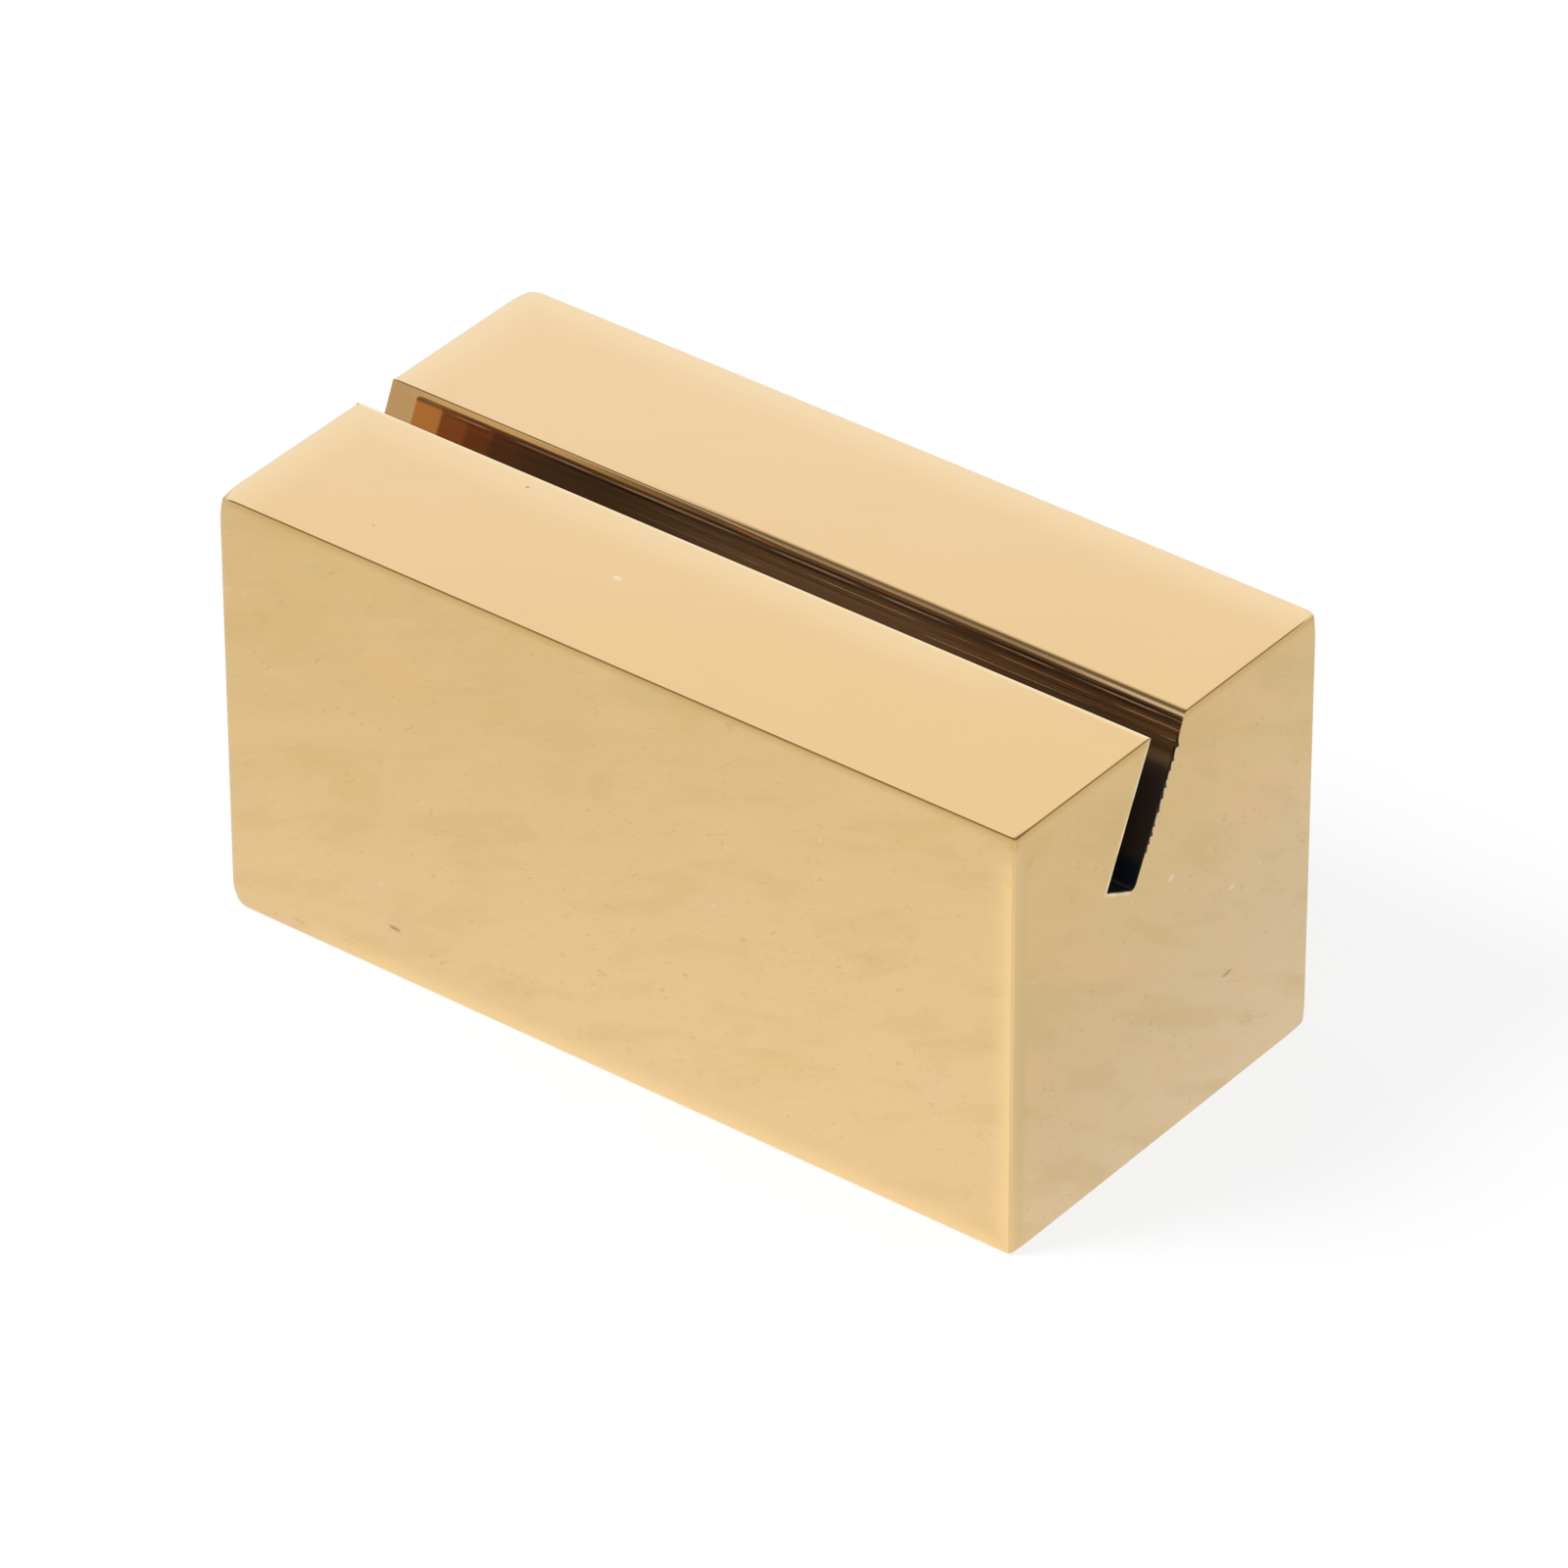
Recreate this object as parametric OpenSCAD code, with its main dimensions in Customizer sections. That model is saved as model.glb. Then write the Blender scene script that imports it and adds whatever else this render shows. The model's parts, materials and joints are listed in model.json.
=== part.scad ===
// Place card holder: one solid metal block with a leaning slot sawn through its top.
// +X runs along the block, +Y to its back, +Z up. The origin is the middle of the underside.

/* [Block] */
// Length of the block, along the slot
block_length = 40; // [24:1:80]
// Depth of the block, from its front face to its back face
block_depth = 20; // [16:1:40]
// Height of the block
block_height = 20; // [14:1:40]
// Radius that polishing leaves on every outer edge
edge_radius = 0.2; // [0.05:0.05:1]

/* [Slot] */
// Width of the slot, square to its walls
slot_width = 2; // [0.8:0.1:3.5]
// Lean of the slot from upright, which tips a card back
slot_lean = 25.5; // [5:0.5:35]
// Depth of the slot along its lean, from the top face to its floor
slot_depth = 7; // [4:0.1:9]
// Radius of the fillet between the floor and the back wall
back_fillet = 0.3; // [0.1:0.05:0.4]
// Radius of the fillet between the floor and the front wall
front_fillet = 0.1; // [0.05:0.05:0.3]
// Width broken off each side of a lip, along the top face and down the wall
lip_break = 0.08; // [0.02:0.02:0.4]

/* [Hidden] */
$fn = 64;
// How far a cut runs on past the face that it opens
overrun = 1;
// Half the width of the slot's mouth, measured level along the top face
half_mouth = slot_width / 2 / cos(slot_lean);

// Rectangle about its centre, with four round corners
module rounded_rectangle(wide, tall, radius) {
    square([wide - 2 * radius, tall], center = true);
    square([wide, tall - 2 * radius], center = true);
    for (x = [-1, 1], y = [-1, 1])
        translate([x * (wide / 2 - radius), y * (tall / 2 - radius)])
            circle(radius);
}

// Polished bar before it is sawn: three rounded bars that share one space,
// each of which rounds the four edges that run its own way
module polished_bar() {
    translate([0, 0, block_height / 2])
        intersection() {
            linear_extrude(block_height, center = true)
                rounded_rectangle(block_length, block_depth, edge_radius);
            rotate([90, 0, 0])
                linear_extrude(block_depth, center = true)
                    rounded_rectangle(block_length, block_height, edge_radius);
            rotate([90, 0, 90])
                linear_extrude(block_length, center = true)
                    rounded_rectangle(block_depth, block_height, edge_radius);
        }
}

// Section of the slot, upright, with its floor on the x axis and its front wall at the left
module slot_section() {
    tall = slot_depth + overrun + half_mouth;
    half = slot_width / 2;
    translate([front_fillet - half, 0])
        square([slot_width - front_fillet - back_fillet, tall]);
    translate([-half, front_fillet])
        square([slot_width - back_fillet, tall - front_fillet]);
    translate([front_fillet - half, back_fillet])
        square([slot_width - front_fillet, tall - back_fillet]);
    translate([front_fillet - half, front_fillet])
        circle(front_fillet);
    translate([half - back_fillet, back_fillet])
        circle(back_fillet);
}

// Section of the cut that breaks one lip, seen with the mouth's middle at the origin.
// side is -1 for the front lip and 1 for the back one. The cut comes straight at the lip,
// along the line that halves the metal's angle there
module lip_section(side) {
    half_angle = (90 + side * slot_lean) / 2;
    bite = lip_break * cos(half_angle);
    translate([side * half_mouth, 0])
        rotate(side > 0 ? -half_angle : 180 + half_angle)
            translate([-overrun, -lip_break])
                square([overrun + bite, 2 * lip_break]);
}

// Everything that is cut away, carried along the block and out past both ends
module slot_cut() {
    translate([0, 0, block_height])
        rotate([90, 0, 90])
            linear_extrude(block_length + 2 * overrun, center = true) {
                rotate(-slot_lean)
                    translate([0, -slot_depth])
                        slot_section();
                lip_section(-1);
                lip_section(1);
            }
}

module block() {
    color([0.9, 0.76, 0.54])
        difference() {
            polished_bar();
            slot_cut();
        }
}

block();
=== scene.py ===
import json
import math

import bpy
import numpy as np
from mathutils import Matrix, Vector


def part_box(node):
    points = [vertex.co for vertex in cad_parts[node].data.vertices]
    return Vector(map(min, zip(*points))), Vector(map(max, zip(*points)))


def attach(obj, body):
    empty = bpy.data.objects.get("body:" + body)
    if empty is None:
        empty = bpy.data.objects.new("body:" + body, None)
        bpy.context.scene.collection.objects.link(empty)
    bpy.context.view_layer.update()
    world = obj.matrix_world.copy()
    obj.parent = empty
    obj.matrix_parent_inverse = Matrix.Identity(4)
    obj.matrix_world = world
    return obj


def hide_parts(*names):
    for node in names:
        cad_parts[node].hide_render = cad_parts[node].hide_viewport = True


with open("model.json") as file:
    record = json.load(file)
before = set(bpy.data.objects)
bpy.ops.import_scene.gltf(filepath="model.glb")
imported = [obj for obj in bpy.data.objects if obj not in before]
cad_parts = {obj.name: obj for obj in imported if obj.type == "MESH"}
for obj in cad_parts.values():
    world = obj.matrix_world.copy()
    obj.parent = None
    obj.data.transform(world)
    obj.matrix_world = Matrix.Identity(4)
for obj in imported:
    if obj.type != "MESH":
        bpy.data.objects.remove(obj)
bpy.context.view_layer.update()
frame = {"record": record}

mm = 0.001  # one millimetre in Blender's metres
low, high = (np.array(corner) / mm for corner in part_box("block"))
blockSize = high - low
topHeight, rightEnd, frontPlace = (float(place) for place in (high[2], high[0], low[1]))

# The camera. The picture is square, so one lens length fits both sides.
cameraValues = {
    "lensLength": 261.14,  # mm, for a sensor 36 mm wide
    "sensorWidth": 36.0,  # mm
    "azimuth": 37.726,  # degrees, 0 looks along +Y and 90 along -X
    "elevation": 34.433,  # degrees above the floor
    "roll": -0.113,  # degrees
    "distance": 459.512,  # mm from the aim point
    "aim": (0.974, 0.071, 9.212),  # mm, what stands in the middle of the picture
}

# The block's small shapes, in mm. Its overall size and its slot come from the frame.
blockValues = {
    "slotWidth": 2.0,
    "longEdgeRadius": 0.11,  # the upper edges along the block
    "bottomEdgeRadius": 0.2,
    "endEdgeInset": 0.09,  # how far the edges round each end are rounded, across the block
    "endEdgeRun": 0.13,  # and along it
    "cornerRun": 0.12,  # added to that at the block's corners, which are rubbed rounder
    "cornerInsets": (0.08, 0.14),  # at the top ones and at the bottom ones
    "cornerReach": 0.55,
    "cornerChange": 3.0,  # this far from the top and bottom the one starts to turn into the other
    "cornerBend": 0.9,
    "leftEndRun": (0.15, 0.45),  # added at the left end, which is rubbed rounder, and at its corners
    "leftEndInset": (0.03, 0.20),
    "rearCornerRun": 0.15,  # added at the right end's rear top corner, which is rubbed more
    "rearCornerInset": 0.13,
    "rearCornerReach": ((4.0, 1.0), (6.0, 1.0)),  # in from the back, and down from the top
    "endReach": 2.5,  # how far into an end face the rounding of its border is felt
    "collar": 0.07,  # a plain ring just before the rounding, so that the ends' burrs stay narrow
    "rearLipRadii": (0.11, 0.28),  # rubbed rounder from the middle of the block on
    "rearLipChange": (-5.5, 1.0),  # where along the block that happens
    "frontLipRadius": 0.05,
    "slotEndRadius": 0.03,  # the slot's edges at each end
    "backFillet": 0.3,
    "frontFillet": 0.12,
    "crownHeight": 0.006,  # how far polishing has pulled the faces in at their edges
    "crownWidth": 0.9,
    "sawLineHeight": 0.0012,
    "wallHollow": 0.075,  # grinding has hollowed the rear wall just below its lip
    "hollowReach": 1.4,
    "sawLineWaves": (0.14, 0.5, 12, 3),  # wave lengths from and to, how many waves, and the seed
    "sawLineStart": (0.05, 0.3),  # how far below the lips they start and are at their full
    "toothDepth": 0.24,  # notches torn into the rear wall's right edge
    "toothPitch": 0.46,
    "toothStart": (0.3, 1.2),  # the same for them
    "toothEnd": (6.2, 5.6),  # and where they stop
    "toothSway": (0.3, 2.3),  # how uneven their spacing is, and how fast that changes
    "toothLevels": (0.6, 0.4),  # their depth: its middle, and how much it goes up and down
    "waveHeight": 0.0008,
    "waveLength": 5.5,
}

# How many points the block's outline and length have
blockGrid = {
    "cornerPoints": 9,
    "filletPoints": 7,
    # rear wall, slot floor, front wall, the top on each side, bottom and back
    "runPoints": (120, 40, 64, 31, 56, 70),
    "lengthPoints": 116,
    "lengthBunching": 0.7,
    "roundPoints": 7,
    "blendPoints": 4,  # to each side, over which the end radii blend at the slot's lips
    # how much the points crowd at each run's ends, in blockOutline's order
    "bunching": (0.0, 0.5, 0.3, 0.93, 0.85, 0.85, 0.85, 0.93),
}


def eased(count, bunching):
    # Places from 0 to 1: an even step mixed with half a cosine wave, so that the points crowd at both ends
    step = np.linspace(0.0, 1.0, count)
    return (1 - bunching) * step + bunching * (1 - np.cos(math.pi * step)) / 2


def between(start, end, count, bunching):
    # Points strictly between two places, on the straight line that joins them, at eased distances
    share = eased(count + 2, bunching)[1:-1, None]
    return start + (end - start) * share


def smooth(start, end, x):
    # Smooth step: 0 before start, 1 after end, and 3s squared less 2s cubed between
    s = np.clip((x - start) / (end - start), 0.0, 1.0)
    return s * s * (3 - 2 * s)


def rippled(x, shortest, longest, count, seed):
    # A sum of sine waves of random length and phase, each as high as it is long, brought to a height of
    # about 1
    rng = np.random.default_rng(seed)
    lengths = rng.uniform(shortest, longest, count)
    phases = rng.uniform(0.0, 1.0, count)
    waves = np.sin(2 * math.pi * (x[:, None] / lengths + phases)) * lengths
    return waves.sum(axis=1) / lengths.sum() * 2


def unit(vector):
    return vector / np.linalg.norm(vector)


def cornerArc(before, corner, after, radius, count):
    # An arc that touches both lines at a corner: it starts radius * tan(turn / 2) before the corner and
    # turns by the angle between the lines, about a centre one radius to the side that the path turns to.
    # Returns its points and the directions that face out of the metal there.
    comes, goes = unit(corner - before), unit(after - corner)
    side = np.sign(comes[0] * goes[1] - comes[1] * goes[0])
    turn = math.acos(np.clip(comes @ goes, -1.0, 1.0))
    start = corner - comes * radius * math.tan(turn / 2)
    spoke = side * np.array([comes[1], -comes[0]])
    angle = side * np.linspace(0.0, turn, count)
    cosine, sine = np.cos(angle), np.sin(angle)
    spokes = np.stack([spoke[0] * cosine - spoke[1] * sine, spoke[0] * sine + spoke[1] * cosine], axis=1)
    return start - spoke * radius + spokes * radius, spokes * side


def slotCorners(values):
    # The rear lip, the floor's two corners and the front lip, in the plane across the block. The
    # card_slot mount gives the middle of the slot's floor and its lean, and each lip is where a wall's
    # line meets the top face.
    mount = next(m for m in frame["record"]["mounts"] if m["name"] == "card_slot")
    middle = np.array(mount["pos_m"][1:]) / mm
    upward = np.array(mount["axis"][1:])
    across = np.array([upward[1], -upward[0]]) * values["slotWidth"] / 2
    rearFoot, frontFoot = middle + across, middle - across
    rearLip = rearFoot + upward * (high[2] - rearFoot[1]) / upward[1]
    frontLip = frontFoot + upward * (high[2] - frontFoot[1]) / upward[1]
    return rearLip, rearFoot, frontFoot, frontLip


def blockOutline(values, grid, rearLipRadius):
    # The closed outline across the block, against the clock as seen from +X. It starts at the middle of
    # the rear lip and runs down and up the slot, forward over the top, down the front, back under the
    # block, up the back and forward to the lip again. kinds says which of the eight runs a point is on,
    # and -1 stands for an arc.
    ring = [*slotCorners(values), np.array([low[1], high[2]]), low[1:], np.array([high[1], low[2]]), high[1:]]
    topEdge, bottomEdge = values["longEdgeRadius"], values["bottomEdgeRadius"]
    radii = [rearLipRadius, values["backFillet"], values["frontFillet"], values["frontLipRadius"],
             topEdge, bottomEdge, bottomEdge, topEdge]
    fillet, corner = grid["filletPoints"], grid["cornerPoints"]
    counts = [corner, fillet, fillet] + [corner] * 5
    rearWall, slotFloor, frontWall, top, bottom, back = grid["runPoints"]
    slotSum = rearWall + slotFloor + frontWall + 2 * fillet
    runs = [rearWall, slotFloor, frontWall, top, slotSum - back - bottom - 2 * corner, bottom, back, top]
    bunching = grid["bunching"]
    arcs = [cornerArc(ring[i - 1], ring[i], ring[(i + 1) % 8], radii[i], counts[i]) for i in range(8)]
    half = corner // 2
    points, normals = [arcs[0][0][half:]], [arcs[0][1][half:]]
    kinds = [np.full(corner - half, -1)]
    for i in range(8):
        here, there = arcs[i], arcs[(i + 1) % 8]
        stop = len(there[0]) if i < 7 else half
        points += [between(here[0][-1], there[0][0], runs[i], bunching[i]), there[0][:stop]]
        normals += [np.repeat(here[1][-1:], runs[i], axis=0), there[1][:stop]]
        kinds += [np.full(runs[i], i), np.full(stop, -1)]
    slotCount = slotSum + 2 * (corner - half)
    topCount = top + 2 * (corner - half)
    return np.concatenate(points), np.concatenate(normals), np.concatenate(kinds), slotCount, topCount


def endStations(radiusAlong, insetAcross, sink, turn, end, side):
    # The quarter ellipse that rounds an end: x = end - run (1 - sin turn) - sink sin turn, and
    # inset = depth (1 - cos turn). The sink is how far the end face lies in there.
    sine, cosine = np.sin(turn)[:, None], np.cos(turn)[:, None]
    x = end - side * (radiusAlong * (1 - sine) + sink * sine)
    return x, insetAcross * (1 - cosine)


def endPatch(border, slotSide, outerSide, rearSide, frontSide):
    # Fills an end between the slot's outline and the outer one with straight lines from the one to the other.
    # Along them the points are spaced as on the rear top edge, going over to the front one's spacing with u,
    # and both edges add how far they stray from their own straight lines, less and less towards each other.
    def shares(side):
        gap = np.linalg.norm(np.diff(border[side], axis=0), axis=1)
        return np.concatenate([[0], np.cumsum(gap)]) / gap.sum()

    u = shares(outerSide)[:, None, None]
    rear, front = (shares(side)[None, :, None] for side in (rearSide, frontSide))
    v = (1 - u) * rear + u * front
    patch = (1 - v) * border[slotSide][:, None] + v * border[outerSide][:, None]
    for side, along, weight in ((rearSide, rear, 1 - u), (frontSide, front, u)):
        straight = (1 - along) * border[side[0]] + along * border[side[-1]]
        patch = patch + weight * (border[side][None] - straight)
    return patch


def followed(patch, plain, moves, sides, reach):
    # Moves a patch's points along with its border. Each side's move fades as (1 - distance / reach)
    # squared, and the four sides are averaged by one over the distance squared, so that the patch meets
    # its border exactly.
    total, weights = np.zeros_like(patch), np.zeros(patch.shape[:2] + (1,))
    for side, axis in sides:
        border = np.expand_dims(plain[side], axis)
        away = np.linalg.norm(patch - border, axis=-1, keepdims=True)
        weight = 1 / (away ** 2 + 1e-6)
        total += weight * np.clip(1 - away / reach, 0, 1) ** 2 * np.expand_dims(moves[side], axis)
        weights += weight
    return patch + total / weights


def crowned(distance, values):
    # How far a face is pulled in: the crown's height times (1 - distance / width) squared near an edge
    return values["crownHeight"] * np.clip(1 - distance / values["crownWidth"], 0, 1) ** 2


def waved(a, b, values):
    # Slow waves that polishing leaves in a face, always inwards: 1 plus the product of two slanting sines
    k = 2 * math.pi / values["waveLength"]
    return values["waveHeight"] * (1 + np.sin(k * a + 0.6 * k * b) * np.sin(1.2 * k * b - 0.4 * k * a))


def toSides(y, z):
    # The distances to the nearer long side, and to the nearer of the top and the bottom
    return np.minimum(y - low[1], high[1] - y), np.minimum(z - low[2], high[2] - z)


def endSink(y, z, values):
    # How far an end face lies in: its crown and its waves together
    return crowned(np.maximum(np.minimum(*toSides(y, z)), 0), values) + waved(y, z, values)


def blockMesh(name, values, grid):
    # The outline carried along X, with its end edges rounded and each end closed by a patch.
    # The two outlines differ only at the rear lip, and the block goes over from one to the other along X
    points, normals, kinds, slotCount, topCount = blockOutline(values, grid, values["rearLipRadii"][0])
    rounder = blockOutline(values, grid, values["rearLipRadii"][1])[0] - points
    count = len(points)
    inSlot = np.arange(count) < slotCount
    rearLip, rearFoot = slotCorners(values)[:2]
    depth = np.where(inSlot, (rearLip - points) @ unit(rearLip - rearFoot), 0.0)
    rearWall = kinds == 0

    # distance from each point of the outside to the nearest outer edge
    edgeDistance = np.where(inSlot, blockSize.max(), np.maximum(*toSides(*points.T)))

    sawn = rippled(depth, *values["sawLineWaves"]) * values["sawLineHeight"]
    sawn = np.where(inSlot, sawn * smooth(*values["sawLineStart"], depth), 0.0)
    wallHeight = np.linalg.norm(rearLip - rearFoot)
    hollow = values["wallHollow"] * (1 - np.exp(-depth / values["hollowReach"])) * (1 - depth / wallHeight)
    sawn = sawn - np.where(rearWall, hollow, 0.0)
    points = points - normals * (crowned(edgeDistance, values) - sawn)[:, None]

    # near an outer edge the rounding moves points towards a place one bend in from both faces, so that
    # none cross
    bend = values["cornerBend"]
    heart = [np.clip(points[:, i], low[i + 1] + bend, high[i + 1] - bend) for i in (0, 1)]
    spoke = points - np.column_stack(heart)
    spoke = spoke / np.maximum(np.linalg.norm(spoke, axis=1), 1e-6)[:, None]
    outward = np.where((~inSlot & (edgeDistance < bend))[:, None], spoke, normals)

    rubbed = np.exp(-(edgeDistance / values["cornerReach"]) ** 2)
    atTop, atBottom = values["cornerInsets"]
    change = values["cornerChange"]
    cornerInset = atBottom + (atTop - atBottom) * smooth(low[2] + change, high[2] - change, points[:, 1])
    run = np.where(inSlot, values["slotEndRadius"], values["endEdgeRun"] + values["cornerRun"] * rubbed)
    inset = np.where(inSlot, values["slotEndRadius"], values["endEdgeInset"] + cornerInset * rubbed)
    leftRun, leftInset = (given + np.where(inSlot, 0.5, 1.0) * (more[0] + more[1] * rubbed)
                          for given, more in ((run, values["leftEndRun"]), (inset, values["leftEndInset"])))
    rearTop = rubbed
    for i, reach in enumerate(values["rearCornerReach"]):
        rearTop = rearTop * smooth(*reach, high[i + 1] - points[:, i])
    run = run + values["rearCornerRun"] * rearTop
    inset = inset + values["rearCornerInset"] * rearTop
    blend = grid["blendPoints"]
    window = np.hanning(2 * blend + 1)
    run, inset, leftRun, leftInset = (
        np.convolve(np.concatenate([r[-blend:], r, r[:blend]]), window / window.sum(), "valid")
        for r in (run, inset, leftRun, leftInset))
    # each tooth rises as the square of its share of the pitch, and two sines vary the teeth's depth
    sway, rate = values["toothSway"]
    middle, swing = values["toothLevels"]
    pitch = depth / values["toothPitch"] + sway * np.sin(depth * rate)
    tooth = (pitch % 1.0) ** 2 * (middle + swing * np.sin(depth * 5.1 + 1.0) * np.sin(depth * 1.7))
    toothed = rearWall * smooth(*values["toothStart"], depth) * smooth(*values["toothEnd"], depth)
    teeth = values["toothDepth"] * tooth * toothed

    turn = np.linspace(0.0, math.pi / 2, grid["roundPoints"])
    collar = values["collar"]
    margin = values["endEdgeRun"] + values["cornerRun"] + values["rearCornerRun"] + 2 * collar
    leftMargin = margin + sum(values["leftEndRun"])
    share = eased(grid["lengthPoints"], grid["lengthBunching"])
    body = low[0] + leftMargin + (blockSize[0] - leftMargin - margin) * share
    sink = endSink(*points.T, values)
    lowX, lowInset = endStations(leftRun, leftInset, sink, turn[::-1], low[0], -1)
    highX, highInset = endStations(run, inset + teeth, sink, turn, high[0], 1)
    body = np.repeat(body[:, None], count, axis=1)
    x = np.concatenate([lowX, lowX[-1:] + collar, body, highX[:1] - collar, highX])
    pull = np.concatenate([lowInset, np.zeros((len(body) + 2, count)), highInset])
    fromEnd = np.minimum(x - low[0], high[0] - x)
    polished = crowned(fromEnd, values) + waved(x, points[:, 0] + points[:, 1], values)
    pull = pull + np.where(inSlot, 0.0, polished)
    share = smooth(*values["rearLipChange"], x)
    y, z = (points[:, i] + share * rounder[:, i] - outward[:, i] * pull for i in (0, 1))
    ringPoints = np.stack([x, y, z], axis=-1)

    index = np.arange(x.size).reshape(x.shape)
    beside = np.roll(index, -1, axis=1)
    walls = np.stack([index[:-1], beside[:-1], beside[1:], index[1:]], -1)
    slotFaces = np.broadcast_to((inSlot & np.roll(inSlot, -1))[None, :], walls.shape[:2]).reshape(-1)

    slotSide = np.arange(slotCount)
    frontSide = slotCount - 1 + np.arange(topCount)
    outerSide = (slotCount + topCount - 2 + np.arange(slotCount))[::-1]
    rearSide = np.concatenate([[0], np.arange(count - 1, count - topCount, -1)])
    allPoints, faces, made = [ringPoints.reshape(-1, 3)], [walls.reshape(-1, 4)], x.size
    for ring, side in ((0, -1), (len(x) - 1, 1)):
        plain = np.column_stack([ringPoints[ring, :, 0], points + share[ring][:, None] * rounder])
        patch = endPatch(plain, slotSide, outerSide, rearSide, frontSide)[1:-1, 1:-1]
        sides = ((slotSide[1:-1], 1), (outerSide[1:-1], 1), (rearSide[1:-1], 0), (frontSide[1:-1], 0))
        patch = followed(patch, plain, ringPoints[ring] - plain, sides, values["endReach"])
        patch[..., 0] = (low[0], high[0])[ring > 0] - side * endSink(patch[..., 1], patch[..., 2], values)
        cap = np.empty((slotCount, topCount), int)
        cap[1:-1, 1:-1] = made + np.arange(patch[..., 0].size).reshape(patch.shape[:2])
        cap[:, 0], cap[:, -1] = ring * count + slotSide, ring * count + outerSide
        cap[0, :], cap[-1, :] = ring * count + rearSide, ring * count + frontSide
        made += patch[..., 0].size
        cells = np.stack([cap[:-1, :-1], cap[:-1, 1:], cap[1:, 1:], cap[1:, :-1]], -1).reshape(-1, 4)
        allPoints.append(patch.reshape(-1, 3))
        faces.append(cells if side < 0 else cells[:, ::-1])
    verts = np.concatenate(allPoints)
    mesh = meshFrom(name, verts, np.concatenate(faces), slotFaces)
    torn = np.zeros(len(verts))
    torn[:x.size].reshape(x.shape)[-grid["roundPoints"]:] = toothed
    for label, mask in {**sheenAndWearMasks(verts, values, sheenAndWearValues), "torn": torn}.items():
        mesh.attributes.new(label, "FLOAT", "POINT").data.foreach_set("value", mask.astype(np.float32))
    return mesh


# Where the painted highlights, the pale haze and the burrs lie, in mm. A pair gives where a mask starts and
# where it is full.
sheenAndWearValues = {
    "nearTop": (0.12, 0.03),  # below the top face
    "lipBand": (0.32, 0.0),  # the painted highlight in front of the front lip
    "slotSide": (0.2, 0.05),  # and behind it
    "hazeShare": 0.28,  # of a wider band there
    "hazeBand": (2.2, 0.2),
    "hazeEnd": (18.0, 8.0),  # along the block
    "marginShare": 0.36,  # of the haze along the top's rear and left margins
    "marginBand": (2.4, 0.0),
    "nearEnd": (0.09, 0.035),  # in from the right end
    "burrAndGlintFoot": (-0.2, 0.1),
    # The front wall's pale burr and the floor's, each painted bright as a glint: how far outside the slot its
    # middle is, its band about that, its end, its waves as for the saw lines, and its strength's middle and
    # swing
    "burrsAndGlints": (((0.03, 0.17, 0.06), (7.2, 6.4), (0.5, 2.5, 8, 21), (0.6, 0.4)),
              ((0.04, 0.13, 0.05), (2.0, 1.4), (0.3, 1.2, 6, 4), (0.65, 0.35))),
}


def sheenAndWearMasks(verts, values, sheenAndWear):
    # Two masks from each point's place, in mm. The first: a painted highlight along the front lip, a pale
    # haze in a wider band in front of it, and the hazy rear and left margins of the top. The second: pale
    # burrs at the slot's right end, on its front wall and floor, painted bright as glints.
    # fromFront is the distance from the front wall towards the rear one.
    rearFoot, frontFoot, frontLip = slotCorners(values)[1:]
    x, y, z = verts.T
    fromFront = (verts[:, 1:] - frontLip) @ unit(rearFoot - frontFoot)
    above = (verts[:, 1:] - frontFoot) @ unit(frontLip - frontFoot)
    nearTop, nearEnd = smooth(*sheenAndWear["nearTop"], high[2] - z), smooth(*sheenAndWear["nearEnd"], high[0] - x)
    haze = sheenAndWear["hazeShare"] * smooth(*sheenAndWear["hazeBand"], -fromFront) * smooth(*sheenAndWear["hazeEnd"], x)
    lip = np.maximum(smooth(*sheenAndWear["lipBand"], -fromFront), haze) * smooth(*sheenAndWear["slotSide"], fromFront)
    margin = smooth(*sheenAndWear["marginBand"], np.minimum(high[1] - y, x - low[0]))

    def burrAndGlintBand(place, end, ripple, levels, away, along):
        # a band outside the slot, faded at both its ends and uneven along its length
        out, start, full = place
        band = smooth(start, full, np.abs(away + out)) * smooth(*sheenAndWear["burrAndGlintFoot"], along)
        return band * smooth(*end, along) * (levels[0] + levels[1] * rippled(along, *ripple))

    frontBurrAndGlint = burrAndGlintBand(*sheenAndWear["burrsAndGlints"][0], fromFront, above)
    floorBurrAndGlint = burrAndGlintBand(*sheenAndWear["burrsAndGlints"][1], above, fromFront)
    return {"lipSheenAndHaze": nearTop * np.maximum(lip, sheenAndWear["marginShare"] * margin),
            "rimBurrAndGlint": nearEnd * np.maximum(frontBurrAndGlint, floorBurrAndGlint)}


def meshFrom(name, verts, faces, slotFaces):
    # Puts the arrays into a mesh. The first faces are the walls, and those in the slot take the second
    # material.
    mesh = bpy.data.meshes.new(name)
    mesh.vertices.add(len(verts))
    mesh.loops.add(faces.size)
    mesh.polygons.add(len(faces))
    mesh.vertices.foreach_set("co", (verts * mm).astype(np.float32).ravel())
    mesh.loops.foreach_set("vertex_index", faces.astype(np.int32).ravel())
    mesh.polygons.foreach_set("loop_start", np.arange(0, faces.size, 4, dtype=np.int32))
    mesh.polygons.foreach_set("use_smooth", np.ones(len(faces), bool))
    materials = np.zeros(len(faces), np.int32)
    materials[:len(slotFaces)] = slotFaces
    mesh.polygons.foreach_set("material_index", materials)
    mesh.update(calc_edges=True)
    a, b, c, d = (verts[faces[:, i]] for i in range(4))
    volume = np.einsum("ij,ij->", a, np.cross(b, c) + np.cross(c, d)) / 6
    print("  volume", round(volume, 1), "mm3,", len(faces), "quads, repaired:", mesh.validate())
    return mesh


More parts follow.
